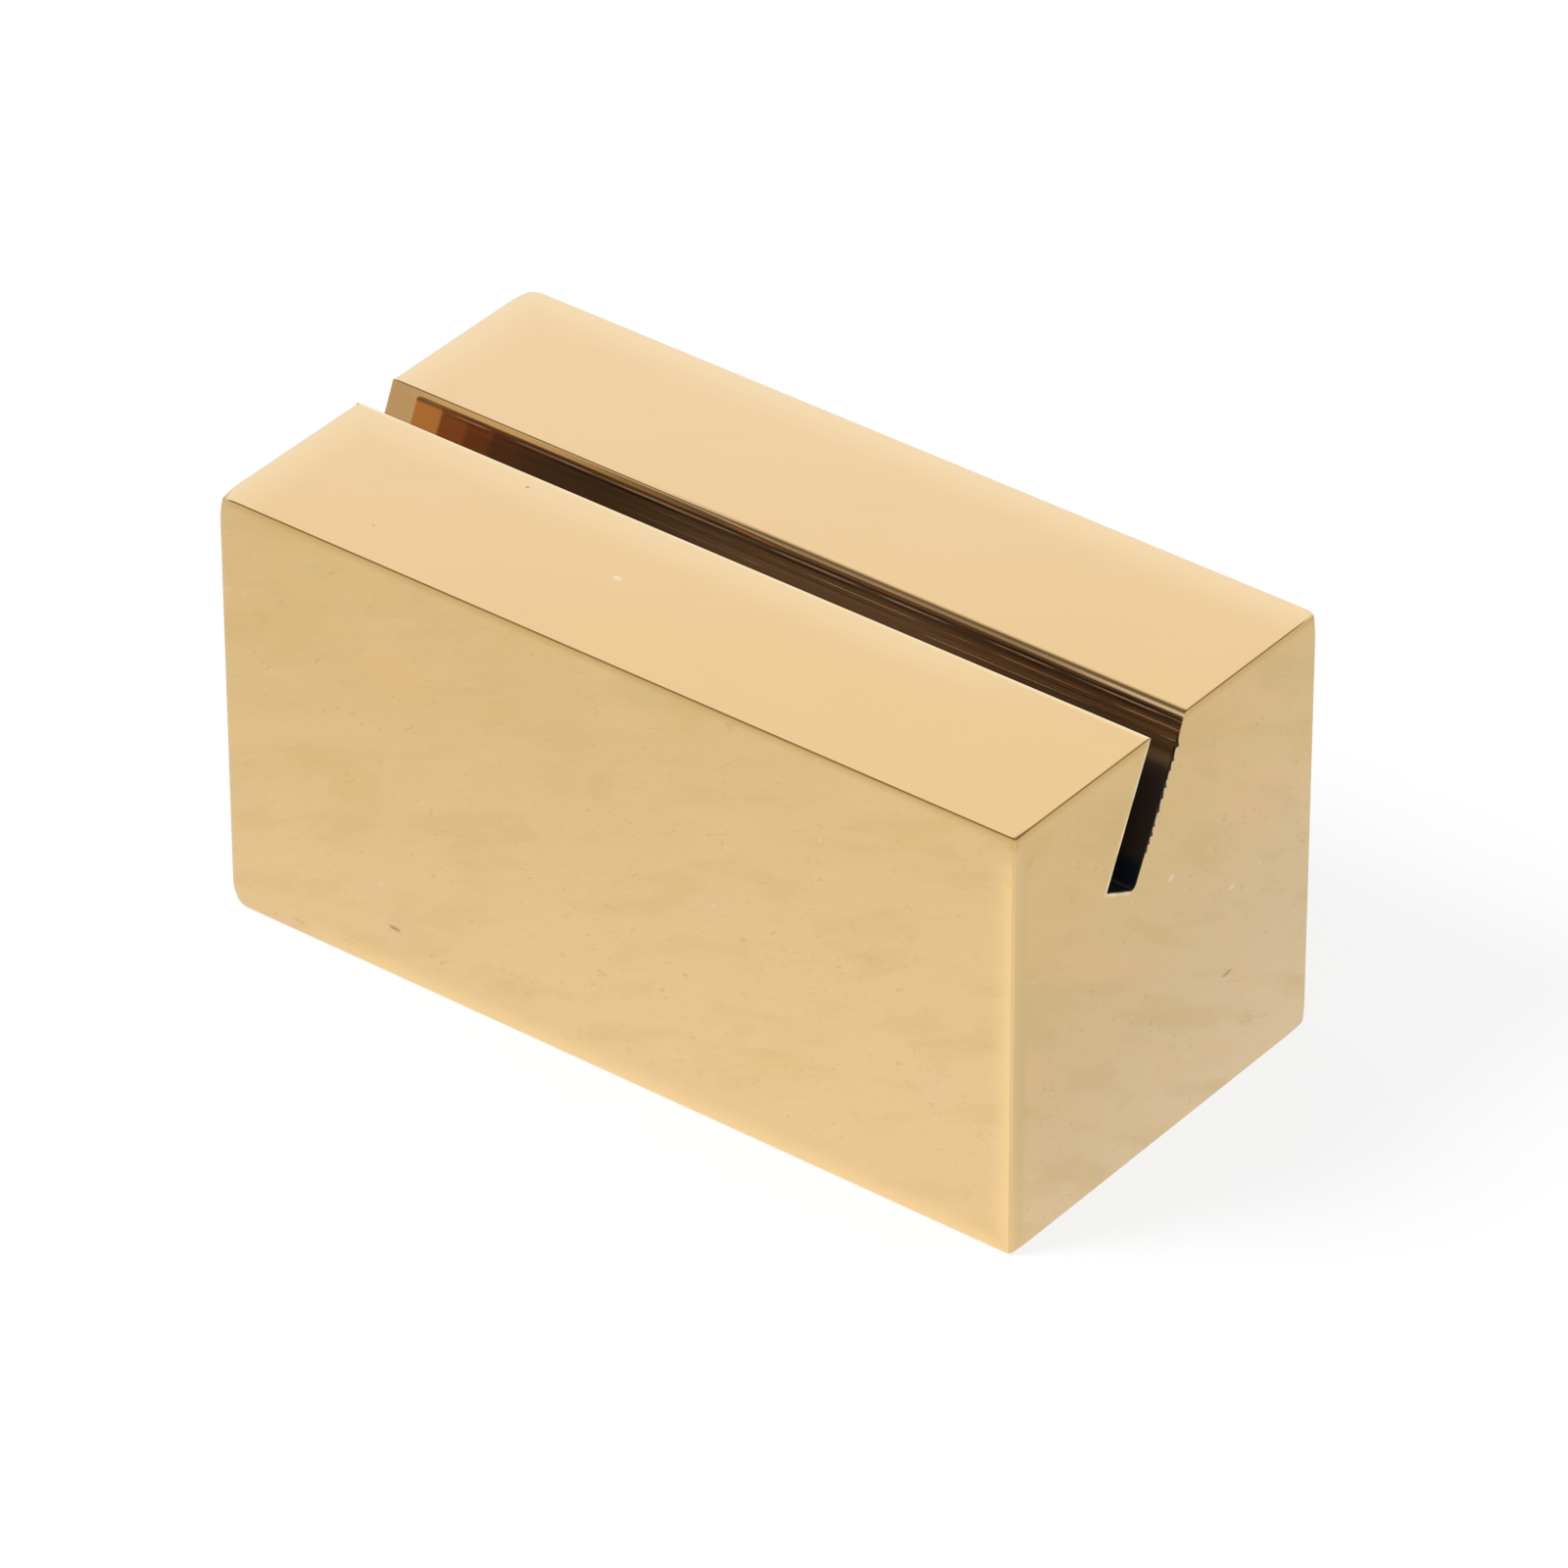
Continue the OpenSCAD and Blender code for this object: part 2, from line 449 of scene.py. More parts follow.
class nodeKit:
    # Short ways to place and join nodes in one tree. A socket's value may be a number, a tuple or another
    # socket, and an underscore in its name stands for a space.
    def __init__(self, tree):
        self.tree = tree

    def put(self, socket, value):
        if isinstance(value, bpy.types.NodeSocket):
            self.tree.links.new(value, socket)
        elif value is not None:
            socket.default_value = value

    def fill(self, node, **inputs):
        for name, value in inputs.items():
            self.put(node.inputs[name.replace("_", " ")], value)
        return node

    def add(self, kind, settings=None, **inputs):
        node = self.tree.nodes.new(kind)
        for name, value in (settings or {}).items():
            setattr(node, name, value)
        return self.fill(node, **inputs)

    def maths(self, operation, a, b=None, c=None):
        node = self.add("ShaderNodeMath", {"operation": operation})
        for socket, value in zip(node.inputs, (a, b, c)):
            self.put(socket, value)
        return node.outputs[0]

    def times(self, mask, *others):
        for other in others:
            mask = self.maths("MULTIPLY", mask, other)
        return mask

    def scaled(self, value, factor, added):
        return self.maths("MULTIPLY_ADD", value, factor, added)

    def inverse(self, mask):
        return self.maths("SUBTRACT", 1.0, mask)

    def vector(self, operation, a, b=None):
        node = self.add("ShaderNodeVectorMath", {"operation": operation})
        for socket, value in zip(node.inputs, (a, b)):
            self.put(socket, value)
        return node.outputs["Value" if operation in ("DISTANCE", "DOT_PRODUCT", "LENGTH") else "Vector"]

    def parts(self, vector):
        return self.add("ShaderNodeSeparateXYZ", Vector=vector).outputs

    def ranged(self, value, start, end, first=0.0, last=1.0):
        # A smooth step from first to last as the value goes from start to end
        node = self.add("ShaderNodeMapRange", {"interpolation_type": "SMOOTHSTEP"}, Value=value,
                        From_Min=start, From_Max=end, To_Min=first, To_Max=last)
        return node.outputs["Result"]

    def span(self, value, edges, first=0.0, last=1.0):
        # The same, from one edge to the other, in mm
        return self.ranged(value, edges[0] * mm, edges[1] * mm, first, last)

    def noise(self, place, scale, detail=2.0, distortion=0.0):
        node = self.add("ShaderNodeTexNoise", Vector=place, Scale=scale, Detail=detail, Distortion=distortion)
        return node.outputs["Fac"]

    def mixed(self, share, a, b):
        return self.add("ShaderNodeMix", {"data_type": "FLOAT"}, Factor=share, A=a, B=b).outputs["Result"]

    def tinted(self, share, a, b):
        node = self.add("ShaderNodeMix", {"data_type": "RGBA"})
        for index, value in ((0, share), (6, a), (7, b)):
            self.put(node.inputs[index], (*value, 1.0) if isinstance(value, tuple) else value)
        return node.outputs[2]

    def attributes(self, *names):
        return [self.add("ShaderNodeAttribute", {"attribute_name": name}).outputs["Fac"] for name in names]

    def group(self, tree, **inputs):
        return self.add("ShaderNodeGroup", {"node_tree": tree}, **inputs).outputs

    def give(self, **outputs):
        # Ends a group: makes its outputs and joins them
        for label in outputs:
            self.tree.interface.new_socket(label, in_out="OUTPUT", socket_type="NodeSocketFloat")
        self.add("NodeGroupOutput", **outputs)
        return self.tree


def newGroup(name, **inputs):
    # An empty shader node group. An input given as a number is a number, and any other is a vector. Returns
    # the group's kit and its inputs.
    tree = bpy.data.node_groups.new(name, "ShaderNodeTree")
    for label, value in inputs.items():
        kind = "NodeSocketFloat" if isinstance(value, float) else "NodeSocketVector"
        socket = tree.interface.new_socket(label.replace("_", " "), in_out="INPUT", socket_type=kind)
        if value is not None:
            socket.default_value = value
    return nodeKit(tree), tree.nodes.new("NodeGroupInput").outputs


def buffMarksGroup():
    # Mottle is a cloud drawn out along the faces. Marks are short wavy lines: where a drawn-out noise
    # crosses its middle value, and only inside the small patches that a second noise opens.
    kit, given = newGroup("buffMarks", Place=None, Cloud_Scale=520.0, Line_Scale=1100.0, Line_Width=0.017,
                          Opening=0.60)
    slant, drawOut = (-0.42, 0.54, 1.0), 0.38
    x, y = (kit.times(part, drawOut) for part in kit.parts(given["Place"])[:2])
    level = kit.vector("DOT_PRODUCT", given["Place"], slant)
    drawn = kit.add("ShaderNodeCombineXYZ", X=x, Y=y, Z=level).outputs[0]
    mottle = kit.noise(drawn, given["Cloud Scale"], 5.0, 0.3)
    patches = kit.noise(kit.vector("ADD", drawn, (0.05, 0.02, 0.03)), given["Cloud Scale"], 4.0, 0.2)
    line = kit.noise(drawn, given["Line Scale"], 1.0, 1.0)
    thin = kit.ranged(kit.maths("ABSOLUTE", kit.maths("SUBTRACT", line, 0.5)), given["Line Width"], 0.0)
    window = kit.noise(given["Place"], kit.times(given["Line Scale"], 1.3), 1.0)
    opened = kit.ranged(window, given["Opening"], kit.maths("ADD", given["Opening"], 0.06))
    marks = kit.times(thin, opened)
    height = kit.maths("SUBTRACT", kit.times(mottle, 0.5), marks)
    return kit.give(Mottle=mottle, Patches=patches, Marks=marks, Height=height)


def finePitsGroup():
    # Round specks: the inner part of a few of a Voronoi pattern's cells, picked by each cell's own random
    # colour
    kit, given = newGroup("finePits", Place=None, Scale=900.0, Size=0.12, Share=0.035)
    cells = kit.add("ShaderNodeTexVoronoi", Vector=given["Place"], Scale=given["Scale"]).outputs
    chosen = kit.add("ShaderNodeSeparateColor", Color=cells["Color"]).outputs
    inner = kit.ranged(cells["Distance"], given["Size"], kit.times(given["Size"], 0.4))
    dark = kit.maths("LESS_THAN", chosen["Red"], given["Share"])
    pale = kit.maths("LESS_THAN", chosen["Green"], kit.times(given["Share"], 0.4))
    return kit.give(Dark=kit.times(inner, dark), Pale=kit.times(inner, pale))


def edgeNearnessGroup():
    # How close a point is to an edge of a box that stands on the floor: of its distances to the box's
    # sides the middle one is the distance to the nearest edge, and the mask falls from 1 there to 0 at
    # Width
    kit, given = newGroup("edgeNearness", Place=None, Half_Size=(1.0, 1.0, 1.0), Width=0.001)
    centred = kit.vector("SUBTRACT", given["Place"], (0.0, 0.0, topHeight * mm / 2))
    x, y, z = kit.parts(kit.vector("SUBTRACT", given["Half Size"], kit.vector("ABSOLUTE", centred)))
    total, most, least = (kit.maths(operation, kit.maths(operation, x, y), z)
                          for operation in ("ADD", "MAXIMUM", "MINIMUM"))
    middle = kit.maths("SUBTRACT", kit.maths("SUBTRACT", total, most), least)
    return kit.give(Mask=kit.ranged(middle, given["Width"], 0.0))


def spotGroup():
    # One small mark at a place: 1 within the spot and 0 from Size outwards. Stretch scales the distances.
    kit, given = newGroup("spotMark", Place=None, Spot=None, Stretch=(1.0, 1.0, 1.0), Size=0.0002)
    away = kit.vector("MULTIPLY", kit.vector("SUBTRACT", given["Place"], given["Spot"]), given["Stretch"])
    wobble = kit.maths("SUBTRACT", kit.noise(given["Place"], 2500.0), 0.5)
    distance = kit.scaled(wobble, given["Size"], kit.vector("LENGTH", away))
    return kit.give(Mask=kit.ranged(distance, given["Size"], kit.times(given["Size"], 0.3)))


def sawLinesGroup():
    # Lines along the slot: noise that reads only how deep and how far across the slot a point is
    kit, given = newGroup("sawLines", Place=None, Scale=6000.0)
    flat = kit.vector("MULTIPLY", given["Place"], (0.004, 1.0, 1.0))
    streaks = kit.noise(flat, kit.times(given["Scale"], 0.35), 1.0)
    return kit.give(Lines=kit.noise(flat, given["Scale"], 3.0), Streaks=kit.ranged(streaks, 0.56, 0.7))


def newMaterial(name):
    # A material, its kit, its shader, and the object's own coordinates
    material = bpy.data.materials.new(name)
    material.use_nodes = True
    kit = nodeKit(material.node_tree)
    place = kit.add("ShaderNodeTexCoord").outputs["Object"]
    return material, kit, material.node_tree.nodes["Principled BSDF"], place


# The outer faces' finish. Colours are linear, lengths are in mm. Each face goes slowly from one tone to
# another, in part as painted light and shade for what the face mirrors.
polishValues = {
    "topColours": ((0.845, 0.592, 0.300), (0.875, 0.640, 0.370)),  # front right, rear left: painted light, lighter and whiter towards the rear left
    "sideColours": ((0.835, 0.594, 0.308), (0.795, 0.560, 0.258)),  # low right, high left: painted shade, darker and more olive towards the high left
    "endColours": ((0.795, 0.560, 0.252), (0.835, 0.635, 0.380)),  # high front, low rear: painted shade, darker high at the front, with a whiter haze low at the rear
    "edgeSheenColour": (0.965, 0.685, 0.330),  # a painted highlight along the side faces' edges, below the top
    # darker on an end's round front edge, and a painted highlight on the end face beside it
    "turnColours": ((0.76, 0.520, 0.240), (0.835, 0.600, 0.295)),
    "edgeLineColour": (0.87, 0.535, 0.165),  # a painted dark line on the narrow rounded edges round the top
    "edgeShadeColour": (0.66, 0.43, 0.15),  # painted shade just under them
    "rearLipShadeColour": (0.50, 0.29, 0.10),  # painted shade as a dark line on the rear lip, from mid length on
    "markColour": (0.60, 0.43, 0.19),
    "blushColour": (0.89, 0.60, 0.30),
    "ochreColour": (0.74, 0.50, 0.19),
    "paleColour": (0.95, 0.82, 0.66),
    # a painted highlight on the front lip and along the burrs, and the pale haze of the top's margins
    "sheenAndWearColour": (1.0, 0.84, 0.56),
    "brownColour": (0.035, 0.020, 0.014),
    "topRoughness": 0.08,
    "sideRoughness": 0.20,
    "edgeBandWidth": 1.7,
    "lineWidth": 0.13,
    "shadeWidth": 0.5,
    "bumpDepth": 0.004,
    # Where masks start and are full, in mm
    "topBand": (0.1, 0.03),  # below the top
    "sideBand": (0.7, 2.2),
    "upperBand": (0.7, 0.4),
    "endBand": (0.06, 0.015),  # in from an end
    "turnBand": (0.16, 0.08),
    "frontBand": (1.2, 0.6),  # back from the front
    "lipBand": (0.26, 0.14),  # away from the rear lip
    "sideStart": (-18.0, -12.0),  # along X
    "lipStart": (-9.0, 0.0),
    "dulled": (0.85, 0.15),  # the marks' strength off the top, and on it, where the metal is cleaner
}

# Small marks that a user may move or drop: place in mm, stretch along each axis, size in mm, colour and
# strength
spotMarks = [
    ((-3.5, -4.95, 20.0), (0.6, 1.0, 1.0), 0.18, (0.95, 0.84, 0.70), 0.6),
    ((-10.5, -1.94, 20.0), (1.0, 1.0, 1.0), 0.12, (0.30, 0.20, 0.10), 0.7),
    ((-13.64, -7.88, 20.0), (1.0, 1.0, 1.0), 0.09, (0.42, 0.30, 0.16), 0.6),
    ((-11.3, -10.0, 2.44), (0.45, 1.0, 1.0), 0.16, (0.36, 0.26, 0.14), 0.7),
    ((20.0, -9.0, 18.4), (1.0, 0.9, 0.8), 0.34, (0.72, 0.49, 0.14), 0.8),
    ((20.0, -8.5, 18.9), (1.0, 0.6, 0.9), 0.9, (0.74, 0.53, 0.21), 0.55),
    ((20.0, -8.0, 16.5), (1.0, 0.7, 0.9), 1.1, (0.78, 0.57, 0.27), 0.5),
    ((19.70, -10.0, 17.9), (1.0, 1.0, 0.8), 0.25, (0.95, 0.60, 0.19), 0.6),
    ((-11.0, -10.0, 14.9), (0.6, 1.0, 1.0), 1.5, (0.84, 0.55, 0.23), 0.4),
    ((20.0, 0.4, 12.48), (1.0, 0.75, 1.0), 0.21, (0.95, 0.80, 0.62), 0.55),
    ((20.0, 4.59, 9.74), (1.0, 0.75, 1.0), 0.20, (0.95, 0.80, 0.62), 0.5),
    ((20.0, 6.45, 9.9), (1.0, 0.75, 1.0), 0.14, (0.95, 0.80, 0.62), 0.5),
    ((20.0, 4.4, 5.64), (1.0, 0.35, 0.9), 0.14, (0.45, 0.32, 0.18), 0.7),
    ((20.0, -0.43, 18.2), (1.0, 0.9, 0.8), 1.0, (0.80, 0.57, 0.26), 0.35),
]

# The slot's finish: sawn, then polished with the rest, so that its walls mirror each other. A thin brown film
# gives them a little colour of their own. Over it lie bands of painted shade, darkest low down and towards
# the right end, and painted highlights under the rear lip.
slotValues = {
    "colour": (0.69, 0.405, 0.170),
    "deepShadeColour": (0.030, 0.022, 0.018),  # painted shade on the walls' lower part towards the right end
    "deep": (((1.5, 2.3),), ((3.0, 13.0),)),  # where that is, as for the painted bands below
    # painted shade, near black, low in the slot over its floor
    "slotFloorShadeColour": (0.014, 0.018, 0.024),
    "floorReach": (1.3, 0.8),  # mm above the floor
    "middleColour": (0.80, 0.42, 0.165),  # the walls from mid length on
    "rightward": (-9.0, 0.0),  # where along the block that comes in
    "lineColour": (0.42, 0.22, 0.10),
    "lineStart": (-17.0, -8.0),
    "paleLineColour": (0.70, 0.46, 0.29),
    "darkLineColour": (0.12, 0.06, 0.03),
    # lines along the walls, partly tool marks and partly painted reflections of the lips' edges: height, half
    # width, and where along the block they start and are at their full
    "paleLines": ((19.26, 0.022, -9, 0), (18.86, 0.022, -9, 0), (19.59, 0.04, -18, -15)),
    "darkLines": ((19.70, 0.045, -18, -15), (19.49, 0.05, -18, -15), (19.10, 0.022, -9, 0)),
    "streakColour": (0.80, 0.56, 0.36),
    "pitColour": (0.7, 0.6, 0.5),
    # Painted shade and painted highlights, one over the other: bands below the top face and along X, each
    # from its start to its full in mm, then strength and colour
    "shadeAndGlintBands": {
        "lower": (((1.25, 1.6),), (), 1.0, (0.45, 0.26, 0.11)),  # painted shade on the walls' lower part
        # a painted highlight just under the rear lip, towards the left end
        "brightLip": (((0.42, 0.34),), ((-4.5, -6.5), (-19.5, -17.0)), 0.75, (0.86, 0.51, 0.19)),
        # painted shade under the rear lip from mid length on, and a painted glint just below it near the
        # right end
        "underLip": (((0.75, 0.5), (0.04, 0.14)), ((-5.5, -3.0),), 0.75, (0.33, 0.20, 0.095)),
        "glint": (((0.24, 0.17), (0.05, 0.10)), ((11.0, 19.0),), 0.75, (0.98, 0.72, 0.42)),
        "frontLip": (((0.15, 0.10),), (), 0.8, (0.12, 0.06, 0.03)),  # painted shade on the front lip's side towards the slot, seen mirrored in the rear wall
    },
    "frontLipReach": (0.2, 0.1),  # mm behind the front lip
    "frontLipLeft": (-3.0, -6.0),  # along X
    "frontLipRight": (4.0, 10.0),
    "frontLipShare": 0.6,  # how strong it is there
    "metallic": (0.945, 0.885, 0.93),  # towards the left end, in the middle and at the right end
    "metallicChange": (6.0, 13.0),  # where along the block the last comes in
    "roughness": 0.05,
    "bumpDepth": 0.0006,
}


def faceTone(kit, place, slope, start, end, tones):
    # Goes from the first tone to the second as the place's dot product with slope goes from start to end
    along = kit.vector("DOT_PRODUCT", place, slope)
    return kit.tinted(kit.ranged(along, start, end), *tones)


def layered(kit, colour, layers):
    # Lays one tint after the other over a colour. A layer is a mask, how much of it counts, and its tone.
    for mask, share, tone in layers:
        colour = kit.tinted(kit.times(mask, share), colour, tone)
    return colour


def polishedGold(values, groups):
    material, kit, shader, place = newMaterial("polishedGold")
    x, y, z = kit.parts(place)

    def inFrom(limit, value, band):
        return kit.span(value, [limit - edge for edge in values[band]])

    onTop, outward = inFrom(topHeight, z, "topBand"), kit.maths("ABSOLUTE", x)
    onEnd, turned = (inFrom(rightEnd, outward, band) for band in ("endBand", "turnBand"))
    offTop, offEnd = kit.inverse(onTop), kit.inverse(onEnd)
    onSide = kit.times(inFrom(topHeight, z, "sideBand"), kit.times(offEnd, kit.span(x, values["sideStart"])))
    dulled = kit.scaled(offTop, *values["dulled"])
    side = faceTone(kit, place, (-20.0, 0.0, 60.0), 0.0, 1.4, values["sideColours"])
    end = faceTone(kit, place, (0.0, 25.0, -60.0), -1.3, 0.15, values["endColours"])
    top = faceTone(kit, place, (-18.0, 36.0, 0.0), -0.6, 0.7, values["topColours"])
    colour = kit.tinted(onTop, kit.tinted(onEnd, side, end), top)

    marks = kit.group(groups["buffMarks"], Place=place)
    scratches = kit.group(groups["buffMarks"], Place=place, Line_Scale=2300.0, Line_Width=0.03,
                          Opening=0.55)["Marks"]
    pits = kit.group(groups["finePits"], Place=place)
    halfSize = tuple(blockSize / 2 * mm)
    edgeBand, line, shade = (
        kit.group(groups["edgeNearness"], Place=place, Half_Size=halfSize, Width=values[name] * mm)["Mask"]
        for name in ("edgeBandWidth", "lineWidth", "shadeWidth"))
    upper = inFrom(topHeight, z, "upperBand")
    under = kit.inverse(upper)
    atFront = kit.span(y, [frontPlace + edge for edge in values["frontBand"]])
    turned = kit.times(edgeBand, turned, under, atFront)
    beside = kit.times(kit.maths("POWER", edgeBand, 4.0), onEnd, atFront, under)
    fromLip = kit.maths("ABSOLUTE", kit.maths("SUBTRACT", y, float(slotCorners(blockValues)[0][0] * mm)))
    rearLipShadeLine = kit.times(kit.span(fromLip, values["lipBand"]), kit.span(x, values["lipStart"]), offEnd, upper)
    lipSheenAndHaze, rimBurrAndGlint, torn = kit.attributes("lipSheenAndHaze", "rimBurrAndGlint", "torn")
    mottle, patches = marks["Mottle"], marks["Patches"]
    mark = values["markColour"]
    blemishes = [
        (kit.ranged(mottle, 0.50, 0.68), 0.16, mark),
        (kit.ranged(patches, 0.50, 0.66), 0.28, values["blushColour"]),
        (kit.ranged(patches, 0.46, 0.34), 0.28, values["ochreColour"]),
        (scratches, 0.22, mark),
        (marks["Marks"], 0.42, mark),
        (pits["Dark"], 0.32, mark),
        (pits["Pale"], 0.2, values["paleColour"]),
    ]
    blemishes = [(kit.times(mask, dulled), share, tone) for mask, share, tone in blemishes]
    colour = layered(kit, colour, [
        *blemishes,
        # a painted highlight along the side faces' edges, below the top
        (kit.times(kit.maths("POWER", edgeBand, 2.0), onSide), 1.0, values["edgeSheenColour"]),
        # darker on the end's round front edge, and a painted highlight on the end face beside it
        (turned, 0.9, values["turnColours"][0]),
        (beside, 0.8, values["turnColours"][1]),
        (kit.times(shade, kit.times(offTop, upper)), 0.8, values["edgeShadeColour"]),
        # a painted dark line on the narrow rounded edges round the top
        (kit.times(line, upper), 1.0, values["edgeLineColour"]),
        # painted shade as a dark line on the rear lip, from mid length on
        (rearLipShadeLine, 0.75, values["rearLipShadeColour"]),
        # a painted highlight along the front lip, and a pale haze on the top's margins
        (lipSheenAndHaze, 1.0, values["sheenAndWearColour"]),
        (torn, 1.0, values["brownColour"]),
        # pale burrs with a painted glint along them, at the slot's right end
        (rimBurrAndGlint, 0.9, values["sheenAndWearColour"]),
    ])
    for spot, stretch, size, tone, strength in spotMarks:
        mask = kit.group(groups["spotMark"], Place=place, Spot=tuple(np.array(spot) * mm), Stretch=stretch,
                         Size=size * mm)["Mask"]
        colour = layered(kit, colour, [(mask, strength, tone)])
    hazy = kit.scaled(mottle, 0.10, values["sideRoughness"] - 0.05)
    bump = kit.add("ShaderNodeBump", Strength=0.35, Distance=values["bumpDepth"] * mm,
                   Height=kit.times(marks["Height"], dulled))
    kit.fill(shader, Base_Color=colour, Metallic=1.0, Normal=bump.outputs["Normal"],
             Roughness=kit.mixed(onTop, hazy, values["topRoughness"]))
    return material


def banded(kit, x, z, below, along):
    # The product of the masks of all bands, those below the top face and those along X
    masks = [kit.span(z, [topHeight - edge for edge in band]) for band in below]
    return kit.times(*masks, *(kit.span(x, band) for band in along))


def lineMask(kit, x, z, places):
    # The largest of several lines' masks. Each line runs along X at one height, and fades in along the block.
    mask = 0.0
    for height, halfWidth, start, full in places:
        away = kit.maths("ABSOLUTE", kit.maths("SUBTRACT", z, height * mm))
        near = kit.span(away, (halfWidth, halfWidth * 0.3))
        mask = kit.maths("MAXIMUM", mask, kit.times(near, kit.span(x, (start, full))))
    return mask


def sawnGold(values, groups):
    material, kit, shader, place = newMaterial("sawnGold")
    x, y, z = kit.parts(place)
    rightward = kit.span(x, values["rightward"])
    lipPlace = float(slotCorners(blockValues)[3][0])
    onRear = kit.maths("GREATER_THAN", y, (lipPlace + 1) * mm)
    ends = kit.maths("MAXIMUM", kit.span(x, values["frontLipLeft"]),
                     kit.span(x, values["frontLipRight"], 0.0, values["frontLipShare"]))
    onFront = kit.times(kit.span(y, [lipPlace + edge for edge in values["frontLipReach"]]), ends)
    sides = {"brightLip": onRear, "glint": onRear, "frontLip": onFront}
    shadeAndGlintBands = [(kit.times(banded(kit, x, z, below, along), sides.get(name, 1.0)), share, tone)
             for name, (below, along, share, tone) in values["shadeAndGlintBands"].items()]
    uneven = kit.ranged(kit.noise(kit.vector("MULTIPLY", place, (1.0, 12.0, 12.0)), 260.0), 0.38, 0.6)
    paleLine, darkLine = (kit.times(uneven, lineMask(kit, x, z, values[name]))
                          for name in ("paleLines", "darkLines"))
    deep = banded(kit, x, z, *values["deep"])
    floorHeight = float(min(corner[1] for corner in slotCorners(blockValues)[1:3]))
    bottom = kit.span(z, [floorHeight + edge for edge in values["floorReach"]])
    saw = kit.group(groups["sawLines"], Place=place)
    sawLines = kit.times(kit.ranged(saw["Lines"], 0.56, 0.36), kit.span(x, values["lineStart"]))
    pits = kit.group(groups["finePits"], Place=place, Scale=1500.0, Share=0.1)
    rimBurrAndGlint, torn = kit.attributes("rimBurrAndGlint", "torn")
    colour = layered(kit, values["colour"], [
        (rightward, 0.5, values["middleColour"]),
        (sawLines, 0.5, values["lineColour"]),
        (kit.times(saw["Streaks"], rightward), 0.6, values["streakColour"]),
        (pits["Pale"], 0.4, values["pitColour"]),
        *shadeAndGlintBands,
        (paleLine, 0.8, values["paleLineColour"]),
        (darkLine, 0.85, values["darkLineColour"]),
        # painted shade, near black, deep in the slot towards the right end
        (deep, 0.93, values["deepShadeColour"]),
        # painted shade, near black, low in the slot over its floor
        (bottom, 0.97, values["slotFloorShadeColour"]),
        (torn, 1.0, polishValues["brownColour"]),
        # pale burrs with a painted glint along them, at the slot's right end
        (rimBurrAndGlint, 0.9, polishValues["sheenAndWearColour"]),
    ])
    bottom = kit.maths("MAXIMUM", bottom, deep)
    coated = kit.maths("MAXIMUM", bottom, kit.times(paleLine, 0.5))
    leftMetal, middleMetal, rightMetal = values["metallic"]
    metallic = kit.mixed(rightward, leftMetal, middleMetal)
    metallic = kit.mixed(kit.span(x, values["metallicChange"]), metallic, rightMetal)
    bump = kit.add("ShaderNodeBump", Strength=0.5, Distance=values["bumpDepth"] * mm, Height=saw["Lines"])
    kit.fill(shader, Base_Color=colour, Metallic=kit.mixed(coated, metallic, 0.4),
             Roughness=kit.scaled(bottom, 0.4, values["roughness"]),
             Normal=bump.outputs["Normal"])
    return material


def placed(name, data):
    thing = bpy.data.objects.new(name, data)
    bpy.context.scene.collection.objects.link(thing)
    return thing


groups = {"buffMarks": buffMarksGroup(), "finePits": finePitsGroup(), "edgeNearness": edgeNearnessGroup(),
          "spotMark": spotGroup(), "sawLines": sawLinesGroup()}
block = placed("goldBlock", blockMesh("goldBlock", blockValues, blockGrid))
block.data.materials.append(polishedGold(polishValues, groups))
block.data.materials.append(sawnGold(slotValues, groups))
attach(block, "root")
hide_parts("block")
print("stage 2: block made and finished")

floorValues = {
    "side": 3000.0,  # mm
    "sink": 0.01,  # mm below the block, so that the two faces don't lie in one plane
    "whiteShare": 0.84,  # how much of the floor's look is its own white and not the lamp's light
    "metalWhiteShare": 0.85,  # the same, as the metal sees it
    "farGlow": 0.72,  # the floor's white as the metal sees it, far off
    "frontGlow": 0.11,  # added in front of the block
    "frontSpan": (-2.0, -14.0),  # mm along Y, where that starts and is full
    "nearGlow": 0.11,  # added close to the block
    "rightGlow": 0.05,  # added towards the right
    "rightSpan": (-25.0, 12.0),  # mm along X
    "nearReach": 12.0,  # mm
    "cornerGlow": 0.20,  # added beyond the front right corner
    "cornerPlace": (32.0, -24.0, 0.0),
    "cornerReach": 17.0,
}


